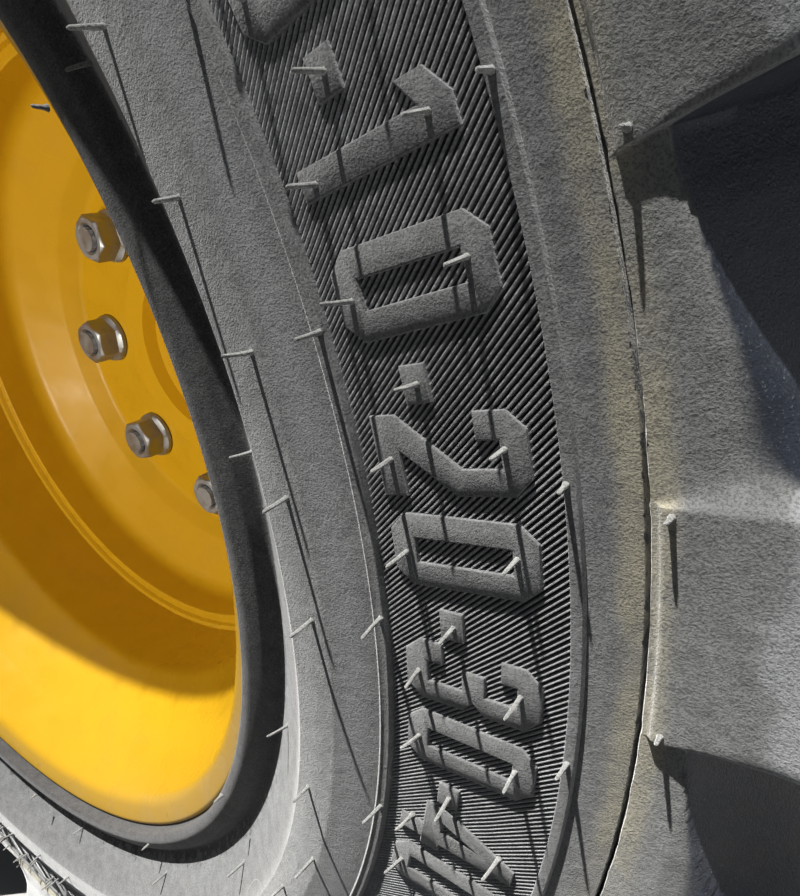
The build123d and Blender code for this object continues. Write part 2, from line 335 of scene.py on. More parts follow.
def rubber(name, base=(0.33, 0.333, 0.339), dusty=0.35, zones=""):
    """Moulded rubber with a fine grain under a film of dust. Zones name what this piece has of the tyre."""
    look = Finish(name, base, 0.75, specular=GLOSS)
    radius, reach, along = look.polar()
    grain = look.noise(0.0005, 2.0, 0.65)
    mottle = look.noise(0.006, 7.0, 0.7)
    drift = look.noise(0.06, 5.0, 0.62)
    tone = look.mix(look.span(mottle, 0.34, 0.66), [c * 0.8 for c in base], [c * 1.12 for c in base])
    color = look.mix(look.times(look.span(drift, 0.42, 0.72), dusty), tone, DUST)
    color = look.mix(look.scratches(0.075, 0.003), color, [min(0.8, c * 1.7) for c in base])
    shine, gloss, gleam = look.span(drift, 0.3, 0.7, 0.62, 0.85), GLOSS, GLEAM
    if "sidewall" in zones:
        color = sidewall_color(look, color, radius, mottle)
        # Less gleam on the slope inside the crest
        gleam = look.span(radius, 0.2700, 0.2790, 0.2, GLEAM)
    if "ribs" in zones:
        # Painted shade: the ribs go near-black below about half a millimetre over the band's floor, for the
        # shade down between them, over rubber that is clean there
        fall = (BAND_OUT_H - BAND_IN_H) / (BAND_OUT_R - BAND_IN_R)
        floor = look.math("MULTIPLY_ADD", look.math("SUBTRACT", radius, BAND_IN_R * MM), fall, BAND_IN_H * MM)
        risen = look.math("SUBTRACT", reach, floor)
        color = look.mix(look.span(risen, 0.0003, 0.0007), SEAM_BLACK_AND_SHADE, color)
    if "tread" in zones:
        # Deep is 1 between the lugs, and 0 on their faces and crown
        low = look.span(reach, 0.1480, 0.1491, 1.0, 0.0)
        deep = look.times(low, look.span(radius, CROWN_FROM, 0.453, 1.0, 0.0))
        color = tread_color(look, color, radius, drift, deep)
        shine = look.span(deep, 0.0, 1.0, 0.72, 0.42)
        gloss = look.span(deep, 0.0, 1.0, GLOSS, 0.3)
        gleam = look.span(deep, 0.0, 1.0, 0.9, 0.1)
    if zones:
        color = seam_color(look, color, radius, mottle)
        inner_side = look.span(along, WHEEL_Y + 0.001, WHEEL_Y + 0.03, 0.0, 0.72)
        color = look.mix(inner_side, color, (0.035, 0.035, 0.036))
    speck = look.mix(1.0, color, (0.60, 0.60, 0.60), "MULTIPLY")
    color = look.mix(look.span(grain, 0.36, 0.56), speck, color)
    color = look.mix(look.span(grain, 0.62, 0.72, 0.0, 0.35), color, (0.52, 0.52, 0.52))
    look.set("Base Color", color)
    look.set("Roughness", shine)
    look.set("Specular IOR Level", gloss)
    look.set("Diffuse Roughness", 1.0)
    look.set("Sheen Weight", gleam)
    look.set("Sheen Roughness", 0.5)
    fine = look.bump(grain, 0.00018)
    look.set("Normal", look.bump(mottle, 0.0004, fine))
    return look.material


def sidewall_color(look, color, radius, mottle):
    """Dark rubber by the rim, partly painted shade, with flakes of dust at its border; a slight painted shade
    up the slope inside the crest; painted shade, near-black, between the ribs; a paler crest band, partly
    wear and partly a painted highlight.
    """
    # Near-black rubber in the groove by the rim, clean of dust and partly a painted shade of the groove, with
    # flakes of dust along its ragged border
    flaked = look.math("ADD", radius, look.stray(0.005, 6.0, 0.75, 0.03))
    dark = look.span(flaked, 0.2525, 0.2545, 1.0, 0.0)
    black_and_shade = look.mix(look.span(mottle, 0.3, 0.7), (0.11, 0.111, 0.115), (0.16, 0.16, 0.162))
    # Painted shade: a little darker up the slope inside the crest
    slope = look.times(look.span(radius, 0.2525, 0.2560), look.span(radius, 0.2745, 0.2765, 0.2, 0.0))
    color = look.mix(slope, color, (0.13, 0.13, 0.132))
    color = look.mix(dark, color, black_and_shade)
    # Painted shade: the band's floor near-black down between the ribs, over clean rubber
    band = look.times(look.span(radius, 0.3070, 0.3074), look.span(radius, 0.3520, 0.3523, 1.0, 0.0))
    color = look.mix(band, color, (0.010, 0.010, 0.011))
    # A paler band along the crest, partly wear and partly a painted highlight
    worn_crest_and_highlight = look.span(look.apart(radius, 0.296), 0.0, 0.008, 0.8, 0.0)
    return look.mix(worn_crest_and_highlight, color, (0.47, 0.477, 0.49))


def tread_color(look, color, radius, drift, deep):
    """Lugs with a painted glare towards their ends, a dark crown and scuffs, and clean dark rubber down
    between them under painted shade and a painted blue reflection of the sky.
    """
    color = look.mix(0.3, color, (0.50, 0.50, 0.49))
    # Painted highlight: the lugs' faces grow paler towards their ends, a painted glare of the light on them
    painted_glare = look.span(look.math("ADD", radius, look.stray(0.03, 6.0, 0.7, 0.03)), 0.388, 0.394)
    color = look.mix(look.times(painted_glare, 0.9), color, (0.64, 0.655, 0.67))
    crown = look.span(radius, CROWN_FROM, 0.4535)
    color = look.mix(look.times(crown, 0.85), color, (0.11, 0.11, 0.109))
    # Between the lugs: clean dark rubber darkened further as painted shade, tinted blue as a painted
    # reflection of the sky, with painted bluish glints and some settled dust
    clean = look.mix(look.span(drift, 0.3, 0.7), (0.020, 0.027, 0.045), (0.052, 0.064, 0.092))
    painted_sky_glints = look.span(look.noise(0.009, 7.0, 0.78), 0.55, 0.68)
    clean = look.mix(look.times(painted_sky_glints, 0.45), clean, (0.13, 0.165, 0.24))
    settled = look.span(look.noise(0.025, 5.0, 0.6), 0.56, 0.72)
    clean = look.mix(look.times(settled, 0.2), clean, (0.19, 0.178, 0.152))
    color = look.mix(deep, color, clean)
    scuffs = look.span(look.noise(0.035, 6.0, 0.7), 0.6, 0.68)
    return look.mix(look.times(scuffs, look.span(deep, 0.0, 1.0, 0.5, 0.0)), color, (0.42, 0.413, 0.39))


def seam_color(look, color, radius, mottle):
    """The ragged dark mould seam between its dusty margins."""
    seam = (CRACK_R + CRACK_END_R) / 2 * MM
    off = look.apart(look.math("ADD", radius, look.stray(0.02, 5.0, 0.65, 0.006)), seam)
    strength = look.span(look.noise(0.05, 4.0, 0.6), 0.36, 0.56, 0.25, 0.95)
    patchy = look.span(mottle, 0.26, 0.5, 0.4, 1.0)
    margin = look.times(look.span(off, 0.003, 0.0075, 1.0, 0.0), strength, patchy)
    color = look.mix(margin, color, (0.62, 0.572, 0.44))
    ragged = look.math("SUBTRACT", look.apart(radius, seam), look.stray(0.005, 4.0, 0.75, 0.003, 0.48))
    return look.mix(look.span(ragged, 0.0002, 0.0004, 1.0, 0.0), color, SEAM_BLACK_AND_SHADE)


def glossy_paint(name, color, gloss):
    """Thick sprayed paint with slight waves and a few specks of dust."""
    look = Finish(name, color, 0.3, specular=gloss)
    waves = look.noise(0.02, 2.0, 0.4)
    specks = look.span(look.cells(0.006), 0.0, 0.12, 1.0, 0.0)
    dust = look.times(specks, look.span(look.noise(0.03), 0.5, 0.7))
    tone = look.mix(look.span(waves, 0.3, 0.7), [c * 0.96 for c in color], color)
    look.set("Base Color", look.mix(look.times(dust, 0.2), tone, (0.9, 0.75, 0.4)))
    look.set("Roughness", look.span(waves, 0.3, 0.7, 0.24, 0.36))
    look.set("Normal", look.bump(waves, 0.0003))
    return look.material


def steel(look, color):
    """Fine marks and some dull patches. Gives the colour and the patches."""
    look.set("Normal", look.bump(look.noise(0.0016, 4.0, 0.6), 0.00006))
    patches = look.noise(0.015, 4.0, 0.6)
    film = look.times(look.span(patches, 0.5, 0.75), 0.35)
    return look.mix(film, color, (0.12, 0.10, 0.08)), patches


def metal(name, color, roughness):
    """Turned or plated steel."""
    look = Finish(name, color, roughness, metallic=1.0)
    shade, patches = steel(look, color)
    look.set("Base Color", shade)
    look.set("Roughness", look.span(patches, 0.3, 0.7, roughness * 0.8, min(1.0, roughness * 1.4)))
    return look.material


def part_painted(name, color, paint, bare_from):
    """Turned steel whose outer face is sprayed with the wheel's paint. Bare from a reach inwards."""
    look = Finish(name, color, 0.32, metallic=1.0)
    bare = look.span(look.polar()[1], bare_from, bare_from + 0.001)
    shade, patches = steel(look, color)
    look.set("Base Color", look.mix(bare, paint, shade))
    look.set("Metallic", bare)
    look.set("Roughness", look.span(patches, 0.3, 0.7, 0.26, 0.42))
    look.set("Specular IOR Level", look.span(bare, 0.0, 1.0, 0.14, 0.5))
    return look.material


def satin_paint(name, color):
    """Satin paint over a cast and welded surface."""
    look = Finish(name, color, 0.45, coat=0.2)
    skin = look.noise(0.0022, 3.0, 0.6)
    patches = look.noise(0.05, 4.0, 0.6)
    film = look.times(look.span(patches, 0.45, 0.75), 0.3)
    look.set("Base Color", look.mix(film, color, (0.22, 0.19, 0.15)))
    look.set("Roughness", look.span(patches, 0.3, 0.7, 0.38, 0.62))
    look.set("Normal", look.bump(skin, 0.0002))
    return look.material


class WheelSizes(bpy.types.PropertyGroup):
    """Sizes of the fine shapes."""

    rib_count: bpy.props.IntProperty(
        name="Ribs", description="Fine ribs round the lettered band of each side", default=1296, min=3
    )
    rib_height: bpy.props.FloatProperty(
        name="Rib height", description="How far a rib stands above the band", default=0.0011, unit="LENGTH"
    )
    rib_slant: bpy.props.FloatProperty(
        name="Rib slant", description="Angle of a rib from the radius", default=radians(41), subtype="ANGLE"
    )
    lug_count: bpy.props.IntProperty(
        name="Lugs", description="Tread lugs on each side of the tyre", default=21, min=3
    )
    lug_phase: bpy.props.FloatProperty(
        name="First lug", description="Angle of the first outer lug above the +X side", default=radians(7),
        subtype="ANGLE",
    )
    hair_radius: bpy.props.FloatProperty(
        name="Hair radius", description="Radius of a vent hair at its foot", default=0.0006, unit="LENGTH"
    )
    number_height: bpy.props.FloatProperty(
        name="Number height", description="Height of the raised numbers", default=0.035, unit="LENGTH"
    )
    nut_flats: bpy.props.FloatProperty(
        name="Nut width", description="Width of a wheel nut across its flats", default=0.027, unit="LENGTH"
    )


class WheelColors(bpy.types.PropertyGroup):
    """Colours of the finishes."""

    paint: bpy.props.FloatVectorProperty(
        name="Wheel paint", description="Paint of rim and disc", default=(0.55, 0.318, 0.011), subtype="COLOR"
    )
    plating: bpy.props.FloatVectorProperty(
        name="Plating", description="Zinc on nuts and studs", default=(0.30, 0.31, 0.33), subtype="COLOR"
    )
    steel: bpy.props.FloatVectorProperty(
        name="Bare steel", description="Machined steel, axle", default=(0.56, 0.57, 0.58), subtype="COLOR"
    )
    housing: bpy.props.FloatVectorProperty(
        name="Housing", description="Paint of the housing", default=(0.07, 0.07, 0.075), subtype="COLOR"
    )
    floor: bpy.props.FloatVectorProperty(
        name="Floor", description="Colour of the studio floor", default=(0.52, 0.512, 0.50), subtype="COLOR"
    )


def sizes():
    return bpy.context.scene.wheel_sizes


def colors():
    return bpy.context.scene.wheel_colors


# Sidewall rings, columns: radius, reach, bend
SIDEWALL = [
    (402.0, 88.0),
    (378.0, 126.0),
    (369.2, 144.6),
    (CRACK_R, 144.6),
    (CRACK_R, 149.9, 0.3),
    (355.6, 150.4),
    (355.2, 151.7, 0.25),
    (352.6, 151.8, 0.25),
    (352.2, 149.6),
    (307.2, 153.8),
    (306.4, 156.6, 0.5),
    (304.6, 156.7),
    (304.0, 157.2, 0.3),
    (303.4, 156.8),
    (297.0, 158.3, 6.0),
    (289.5, 159.8, 5.0),
    (283.0, 159.6, 6.0),
    (276.0, 159.1, 0.8),
    (249.5, 138.2, 2.0),
    (245.5, 143.6, 3.0),
    (240.0, 145.6, 4.0),
    (LIP_R, 145.0, 1.8),
    (LIP_R, 133.7, 1.0),
    (222.8, 133.05, 13.0),
    (213.2, 97.4, 1.5),
    (228.0, 97.0, 6.0),
    (262.0, 131.0, 12.0),
    (300.0, 136.0, 30.0),
    (352.0, 130.0, 30.0),
    (392.0, 92.0, 30.0),
]
FIRST_RING, LAST_RING = 4, 20  # rows of the shown side, from the mould seam to the bead by the rim


class WHEEL_OT_casing(bpy.types.Operator):
    """Build the tyre's casing with its beads, rim guard and ringed sidewalls"""

    bl_idname = "wheel.casing"
    bl_label = "Tyre casing"

    def execute(self, context):
        other_half = [(radius, -reach, *bend) for radius, reach, *bend in reversed(SIDEWALL)]
        outline = [(404.0, 0.0)] + SIDEWALL + [(398.0, 0.0)] + other_half
        casing = spun("tyre_casing", outline, 420)
        finished(casing, "wheel", "tyre_rubber", rubber("casing_rubber", zones="sidewall"), "tyre")
        return {"FINISHED"}


# Radius and half width on the low side, in degrees, down the flat face of a lug
LUG_FACE_ROWS = [
    (371.4, 4.07), (373.5, 4.03), (375.6, 3.98), (377.2, 3.95), (378.4, 3.93), (379.4, 3.91), (380.4, 3.89),
    (381.4, 3.87), (382.4, 3.85), (383.4, 3.83), (384.6, 3.81), (386.0, 3.79), (387.4, 3.77), (388.9, 3.75),
    (390.5, 3.73), (392.2, 3.7),
]
# Radius and reach of the crown's rows
CROWN_ROWS = [
    (460.3, 70.0), (460.6, 50.0), (460.8, 32.0), (460.9, 19.0), (461.0, 10.5), (461.0, 8.6), (461.0, 6.6),
    (461.0, 5.6), (461.0, 2.5), (461.0, 0.0),
]
# Rows of a lug from the mould seam to the crown, each with the floor beside it
# Columns: lug radius, lug reach, floor radius, half width on the low side, on the high side, in degrees
LUG_ROWS = [
    (CRACK_END_R, 144.8, CRACK_END_R, 4.15, 4.15),
    (CRACK_END_R, 149.0, CRACK_END_R, 4.15, 4.15),
    (CRACK_END_R + 0.3, 149.6, CRACK_END_R + 0.3, 4.15, 4.15),
    (369.4, 149.8, 369.4, 4.13, 4.13),
    (370.1, 150.5, 370.1, 4.12, 4.12),
    (370.5, 151.0, 370.5, 4.1, 4.1),
    *((r, LUG_FACE_H, r, low, 4.1) for r, low in LUG_FACE_ROWS),
    (394.0, 151.4, 394.0, 3.68, 4.1),
    (396.2, 151.7, 396.2, 3.65, 4.1),
    (399.0, 152.1, 398.6, 3.61, 4.09),
    (404.0, 153.3, 401.6, 3.55, 4.04),
    (411.0, 155.4, 405.6, 3.46, 3.95),
    (420.0, 159.0, 411.0, 3.36, 3.83),
    (430.0, 163.2, 417.0, 3.27, 3.7),
    (438.0, 166.4, 422.4, 3.2, 3.6),
    (443.6, 168.4, 426.4, 3.16, 3.5),
    (446.4, 168.9, 428.8, 3.13, 3.45),
    (448.6, 168.2, 430.2, 3.11, 3.42),
    (450.6, 166.0, 431.0, 3.1, 3.4),
    (452.4, 163.4, 431.4, 3.1, 3.38),
    (453.4, 160.8, 431.7, 3.1, 3.36),
    (454.4, 153.0, 431.8, 3.1, 3.33),
    (455.6, 142.0, 431.9, 3.1, 3.3),
    (456.9, 130.0, 432.0, 3.1, 3.26),
    (458.2, 117.0, 432.0, 3.1, 3.2),
    (459.2, 104.0, 432.0, 3.1, 3.15),
    (459.9, 88.0, 432.0, 3.1, 3.12),
    *((r, h, 432.0, 3.1, 3.1) for r, h in CROWN_ROWS),
]
UNDERSIDE = [(380.0, 127.0), (394.0, 108.0), (405.4, 86.0), (405.4, 0.0)]
# Columns from a lug's middle outwards, share of its half width, then how much of the lug's height is left
LUG_TOP = [(0.0, 1.0), (0.48, 1.0), (0.86, 1.0), (0.955, 0.998), (0.985, 0.985), (1.0, 0.945)]
# Wall and fillet, share of the run to the foot
LUG_WALL = [(0.1, 0.72), (0.24, 0.4), (0.42, 0.19), (0.66, 0.06), (1.0, 0.0)]
SLANT_FROM, LUG_LEAN = 114.0, 92.0  # reach where a lug begins to slant, and how far round it goes
PAST_CENTRE = 6.0  # how far a lug's tip goes past the centre plane
SEAM_TO_R, RAGGED_TO_R = 371.5, 369.0  # rows that lie flat at the seam, and its ragged edge
VOID_FROM_H, VOID_TO_R = 120.0, 431.0  # rows whose floor is the slope between two lugs
FLAT_H = 30.0  # reach up to which the floor of the tread lies right under the lug
FLOOR_EDGE, LUG_EDGE = 90.0, 166.0  # reach of the floor's edge at that slope, and of the lug's above it
BRINK_R, TONGUE = 378.6, 14.0  # end of the sidewall between two lugs, and how far its tongue goes on
BOTH_SIDES_H = 12.0  # reach within which a row crosses the lugs of both sides
NO_LUG = {1: None, -1: None}


def smooth(low, high, value):
    t = min(max((value - low) / (high - low), 0.0), 1.0)
    return t * t * (3 - 2 * t)


def lug_lean(reach):
    """How far round, in degrees, a lug has slanted at a distance from the centre plane."""
    share = min(max((SLANT_FROM - reach) / (SLANT_FROM + PAST_CENTRE), 0.0), 1.0)
    ease = share - 0.04 * (1 - share) * min(share * 12, 1)
    return degrees(LUG_LEAN / TREAD_R * ease)


def brink(past):
    """Radius where the sidewall turns down to the void, from the degrees past a lug's high edge."""
    tongue = TONGUE * min(1.0, max(0.0, 1.0 - (past - 1.87) / 6.2)) ** 1.7
    return BRINK_R + tongue - 1.4 * smooth(7.2, 8.6, past)


def void_reach(radius, past):
    """Reach of the surface between two lugs."""
    edge = brink(past)
    beyond = max(0.0, radius - edge)
    flat = PARTING_H - 0.22 * max(0.0, min(radius, edge) - 379.0)
    rounding = 0.65 * exp(-((radius - edge) / 2.2) ** 2)
    return flat - beyond - 5.5 * (1.0 - exp(-beyond / 3.5)) - rounding


class WHEEL_OT_tread(bpy.types.Operator):
    """Build the tread lugs with the voids between them, one pitch copied round the tyre"""

    bl_idname = "wheel.tread"
    bl_label = "Tyre tread"

    def execute(self, context):
        lugs = sizes().lug_count
        pitch = 360.0 / lugs
        rows = [(row, 1) for row in LUG_ROWS] + [(row, -1) for row in reversed(LUG_ROWS[:-1])]
        under = [(r, -h) for r, h in UNDERSIDE] + list(reversed(UNDERSIDE[:-1]))
        across = 4 * (len(LUG_TOP) + len(LUG_WALL)) - 2
        down = len(rows) + len(under)
        points = [self.row(rows, under, j % down, pitch / 2, across) for j in range(down + 1)]
        strip = grid("tyre_tread", points)
        strip.data.transform(turned(degrees(sizes().lug_phase)))
        strips = [strip] + [copied(strip, turned(pitch * k)) for k in range(1, lugs)]
        tread = closed_up(joined("tyre_tread", strips), 50.0)
        finished(tread, "wheel", "tyre_rubber", rubber("tread_rubber", zones="tread"), "tyre")
        return {"FINISHED"}

    def row(self, rows, under, j, step, across):
        """The points of one row, from half a pitch below an outer lug to half a pitch above it."""
        if j >= len(rows):
            radius, reach = under[j - len(rows)]
            return [place(radius, (2 * i / across - 1) * step, reach) for i in range(across + 1)]
        (lug_r, lug_h, floor_r, low, high), face = rows[j]
        near = lug_h < BOTH_SIDES_H
        # The outer side's lug stands at angle 0, the inner side's at both ends of the row
        high_run = 0.12 + 3.0 * smooth(370.0, 394.0, lug_r) - 1.7 * smooth(400.0, 440.0, lug_r)
        low_run = 0.12 + 0.18 * smooth(378.0, 394.0, lug_r) + 0.7 * smooth(398.0, 430.0, lug_r)
        lean = {True: lug_lean(lug_h), False: lug_lean(lug_h)}
        narrow = wide = 1.0
        if near:
            lean = {True: lug_lean(lug_h * face), False: lug_lean(-lug_h * face)}
            apart = lean[False] - lean[True]
            narrow = min(1.0, (step - low - high - apart - 0.1) / (low_run + high_run))
            wide = min(1.0, (step - low - high + apart - 0.1) / (low_run + high_run))
        outer = {1: (high, high_run * narrow), -1: (low, low_run * wide)}
        inner = {1: (high, high_run * wide), -1: (low, low_run * narrow)}
        if not near:
            outer, inner = (outer, NO_LUG) if face > 0 else (NO_LUG, inner)
        points = []
        for angle, left, here in self.columns(step, outer, inner):
            past_centre = -lug_h * face if here else lug_h * face
            keep = left * (1.0 - smooth(PAST_CENTRE, PAST_CENTRE + 3.0, past_centre)) if near else left
            points.append(self.point(rows[j], angle, keep, step, lean[here]))
        return points

    def columns(self, step, outer, inner):
        """Angle, height left and whether it is the outer side's lug, for each column of a row."""
        low_b = [(x - step, left, False) for x, left in self.fan(inner, outer, 1, step)]
        low_a = [(-x, left, True) for x, left in self.fan(outer, inner, -1, step)]
        high_a = [(x, left, True) for x, left in self.fan(outer, inner, 1, step)]
        high_b = [(step - x, left, False) for x, left in self.fan(inner, outer, -1, step)]
        return low_b + low_a[::-1] + high_a[1:] + high_b[::-1]

    def fan(self, lug, neighbour, side, step):
        """Distances from a lug's middle to its foot, or plain steps where this row has no lug there."""
        if lug[side]:
            width, run = lug[side]
            found = [(share * width, left) for share, left in LUG_TOP]
            return found + [(width + share * run, left) for share, left in LUG_WALL]
        foot = step - sum(neighbour[-side])
        count = len(LUG_TOP) + len(LUG_WALL)
        return [(k / (count - 0.4) * foot, 0.0) for k in range(count)]

    def point(self, row, angle, keep, step, lean):
        """One point, between the top of the lug and the floor beside it."""
        (lug_r, lug_h, floor_r, low, high), face = row
        pitch = 2 * step
        from_lug = angle if face > 0 else (angle + pitch) % pitch - step
        past = (from_lug - high) % pitch
        if past > pitch - low - high:
            past = 0.0 if from_lug > 0 else 9.0
        if lug_h > VOID_FROM_H and floor_r < VOID_TO_R:
            floor_h = void_reach(floor_r, past)
        else:
            floor_h = min(lug_h, FLAT_H + (lug_h - FLAT_H) * (FLOOR_EDGE - FLAT_H) / (LUG_EDGE - FLAT_H))
        if lug_r < SEAM_TO_R:
            floor_h = min(lug_h, PARTING_H)
        radius = floor_r + (lug_r - floor_r) * keep
        reach = floor_h + (lug_h - floor_h) * keep
        # The last column has the noise of the first one, where the next copy starts
        spot = place(radius, (angle if angle < step - 0.001 else -step) - lean, reach * face)
        if lug_r < RAGGED_TO_R:
            ragged = noise.noise(spot * 500.0) * 0.25 + noise.noise(spot * 150.0) * 0.3
            return place(radius + ragged, angle - lean, reach * face)
        wave = noise.noise(spot * 35.0) * 0.4 + noise.noise(spot * 120.0) * 0.2
        return place(radius - abs(wave) * 0.4, angle - lean, (reach - abs(wave) * 0.4) * face)


class WHEEL_OT_ribs(bpy.types.Operator):
    """Lay the fine slanting ribs round the lettered band of both sides"""

    bl_idname = "wheel.ribs"
    bl_label = "Sidewall ribs"

    def execute(self, context):
        count, parts = sizes().rib_count, 3
        foot, crest = 0.45, 0.13  # half widths in millimetres
        low, high = BAND_IN_R + 0.1, BAND_OUT_R + 0.3
        height = sizes().rib_height / MM
        slant = tan(sizes().rib_slant)
        section = ((-foot, 0.0), (-crest, height + 0.3), (crest, height + 0.3), (foot, 0.0))
        points, faces = [], []
        for face in FACES:
            for k in range(count):
                start = len(points)
                for n in range(parts + 1):
                    radius = low + (high - low) * n / parts
                    floor = band_height(radius) - 0.3
                    angle = 360.0 * k / count + degrees(slant * (radius - low) / ((radius + low) / 2))
                    across = degrees(1 / radius / cos(sizes().rib_slant))
                    for offset, up in section:
                        points.append(place(radius, angle + offset * across, (floor + up) * face))
                for n in range(parts):
                    for m in range(3):
                        a = start + 4 * n + m
                        faces.append((a, a + 1, a + 5, a + 4))
                faces.append((start, start + 3, start + 2, start + 1))
                end = start + 4 * parts
                faces.append((end, end + 1, end + 2, end + 3))
        ribs = closed_up(mesh_from("sidewall_ribs", points, faces), 30.0)
        look = rubber("rib_rubber", base=(0.66, 0.668, 0.68), dusty=0.1, zones="ribs")
        finished(ribs, "wheel", "tyre_rubber", look)
        return {"FINISHED"}


# Raised figures on a field 18 wide and 35 high, each a list of closed outlines
FIGURES = {
    "0": [
        [(0, 4), (4, 0), (14, 0), (18, 4), (18, 31), (14, 35), (4, 35), (0, 31)],
        [(6, 6), (6, 29), (12, 29), (12, 6)],
    ],
    "1": [[(6, 0), (12, 0), (12, 35), (6.5, 35), (1, 31), (1, 25), (6, 28)]],
    "2": [[
        (0, 0), (18, 0), (18, 6), (8, 6), (18, 18), (18, 31), (14, 35), (4, 35),
        (0, 31), (0, 24), (6, 24), (6, 29), (12, 29), (12, 20), (0, 6),
    ]],
    "3": [[
        (0, 4), (4, 0), (14, 0), (18, 4), (18, 15), (15, 18), (18, 21), (18, 31), (14, 35), (4, 35),
        (0, 31), (0, 25), (6, 25), (6, 29), (12, 29), (12, 21), (6, 21), (6, 15), (12, 15), (12, 6),
        (6, 6), (6, 10), (0, 10),
    ]],
    "4": [
        [(10, 0), (16, 0), (16, 7), (19, 7), (19, 13), (16, 13), (16, 35), (10, 35), (0, 13), (0, 7),
         (10, 7)],
        [(6, 13), (10, 23), (10, 13)],
    ],
    "-": [[(5, 10), (13, 10), (13, 16), (5, 16)]],
}
FIELD_HEIGHT = 35.0
DIAL = ["10-", "20-", "30-", "40-"] * 9
FIGURE_BASE_R = 311.5
FIGURE_STEP = (4.0, 3.35, 2.65)  # degrees from each figure of a number to the next
DIAL_FROM = 22.6


def dial():
    """Each raised figure with the angle of its middle."""
    angle = DIAL_FROM
    for number in DIAL:
        for figure, step in zip(number, FIGURE_STEP):
            yield figure, angle
            angle -= step


class WHEEL_OT_numbers(bpy.types.Operator):
    """Raise plain numbers on the ribbed band, like those of a dial"""

    bl_idname = "wheel.numbers"
    bl_label = "Raised numbers"

    def execute(self, context):
        patterns = {figure: self.plate(figure) for figure in FIGURES}
        spots = [(figure, angle * face, face) for figure, angle in dial() for face in FACES]
        plates = [self.laid(patterns[figure], angle, face) for figure, angle, face in spots]
        for pattern in patterns.values():
            bpy.data.objects.remove(pattern)
        numbers = closed_up(joined("raised_numbers", plates), 30.0)
        finished(numbers, "wheel", "tyre_rubber", rubber("number_rubber", dusty=0.2))
        return {"FINISHED"}

    def plate(self, figure):
        """One figure as a bevelled plate lying flat, in millimetres."""
        curve = bpy.data.curves.new(f"figure_{figure}", "CURVE")
        curve.dimensions = "2D"
        curve.fill_mode = "BOTH"
        curve.extrude = 1.0
        curve.bevel_depth = 0.45
        curve.bevel_resolution = 1
        curve.offset = -0.45
        for outline in FIGURES[figure]:
            spline = curve.splines.new("POLY")
            spline.points.add(len(outline) - 1)
            spline.use_cyclic_u = True
            for point, (x, y) in zip(spline.points, outline):
                point.co = (x - 9.0, y, 0.0, 1.0)
        obj = added(f"figure_{figure}", curve)
        pick(obj)
        bpy.ops.object.convert(target="MESH")
        return obj

    def laid(self, pattern, angle, face):
        """A copy of a plate laid on the band at an angle, its top outwards from the axle."""
        twin = copied(pattern, Matrix.Identity(4))
        scale = sizes().number_height / MM / FIELD_HEIGHT
        middle = radians(angle)
        out = Vector((cos(middle), 0, sin(middle)))
        along = Vector((sin(middle), 0, -cos(middle))) * face
        for vertex in twin.data.vertices:
            x, y, z = vertex.co * scale
            radius = FIGURE_BASE_R + y
            reach = band_height(radius) + 0.35 + z
            spot = out * radius + along * x
            vertex.co = Vector((spot.x * MM, WHEEL_Y - reach * face * MM, spot.z * MM))
        return twin


def sidewall_height(radius):
    """Reach of the outer sidewall's surface at a radius."""
    rings = SIDEWALL[FIRST_RING:LAST_RING + 1]
    for (r1, h1, *_), (r0, h0, *_) in zip(rings, rings[1:]):
        if r0 <= radius <= r1:
            return h0 + (h1 - h0) * (radius - r0) / (r1 - r0)
    return rings[0][1]


# Vent hairs in rings, columns: radius, number round the tyre, angle of the first, length, spread of radius
HAIR_RINGS = [
    (353.6, 32, 0.4, 5.5, 0.6),
    (305.4, 28, 4.9, 8.0, 0.4),
    (284.5, 52, 3.8, 8.0, 5.0),
    (262.0, 16, 12.0, 9.0, 8.0),
    (240.0, 12, 4.2, 4.0, 3.0),
]
LUG_HAIR_R, LUG_HAIR_ANGLES = 372.4, (-3.75, 3.85)
# Hairs on a figure and on a dash, radius and degrees from its middle
FIGURE_HAIRS, DASH_HAIRS = ((315.0, -0.1), (341.5, 0.2)), ((325.0, 0.0),)


